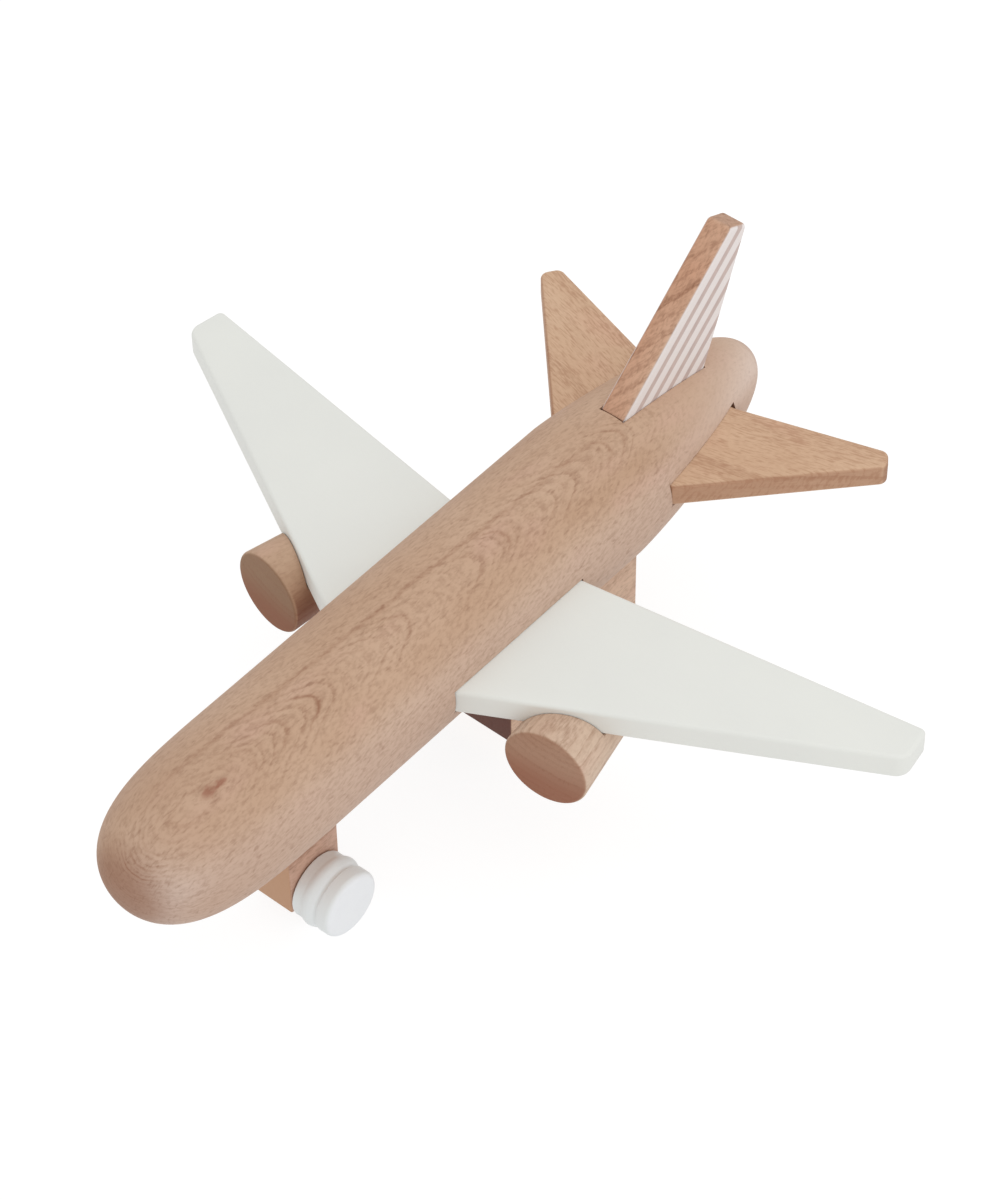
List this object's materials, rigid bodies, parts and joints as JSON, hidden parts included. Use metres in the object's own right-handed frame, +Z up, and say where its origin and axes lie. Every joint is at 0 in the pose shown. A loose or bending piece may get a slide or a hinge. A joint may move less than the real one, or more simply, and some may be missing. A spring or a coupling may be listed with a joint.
{
  "type": "toy airplane",
  "caption": "Wooden toy jet airliner with a round beech body, white swept wings, striped tail fin, engines under the wings and rolling wheels.",
  "frame": {"origin": "on the floor, under the middle of the fuselage's length", "axes": "+Z up, -Y towards the nose, +X towards the port wing tip"},
  "size_m": [0.197, 0.2, 0.0912],
  "materials": {
    "body_beech": "sanded beech, flat-sawn grain, clear matt oil",
    "fin_beech": "sanded beech with painted white pinstripes on both sides",
    "board_beech": "sanded beech, flecked grain, clear matt oil",
    "engine_beech": "sanded beech with darker end grain in front",
    "gear_beech": "sanded beech block",
    "dowel_beech": "turned beech peg",
    "wing_paint": "satin warm white paint on a beech board",
    "wheel_plastic": "moulded white plastic, satin",
    "axle_steel": "bright drawn rod"
  },
  "bodies": {
    "airframe": {"fuselage": "body_beech", "tail_fin": "fin_beech", "port_wing": "wing_paint", "starboard_wing": "wing_paint", "port_stabilizer": "board_beech", "starboard_stabilizer": "board_beech", "port_engine": "engine_beech", "starboard_engine": "engine_beech", "port_engine_dowel": "dowel_beech", "starboard_engine_dowel": "dowel_beech", "nose_block_dowel": "dowel_beech", "front_block_dowel": "dowel_beech", "rear_block_dowel": "dowel_beech", "nose_gear_block": "gear_beech", "main_gear_block": "gear_beech"},
    "nose_wheels": {"nose_axle": "axle_steel", "port_nose_wheel": "wheel_plastic", "starboard_nose_wheel": "wheel_plastic"},
    "main_wheels": {"main_axle": "axle_steel", "port_main_wheel": "wheel_plastic", "starboard_main_wheel": "wheel_plastic"}
  },
  "joints": [
    {"name": "nose_wheels_spin", "type": "hinge", "parent": "airframe", "child": "nose_wheels", "pos_m": [0, -0.0517, 0.00825], "axis": [1, 0, 0], "continuous": true},
    {"name": "main_wheels_spin", "type": "hinge", "parent": "airframe", "child": "main_wheels", "pos_m": [0, 0.027, 0.00825], "axis": [1, 0, 0], "continuous": true}
  ]
}
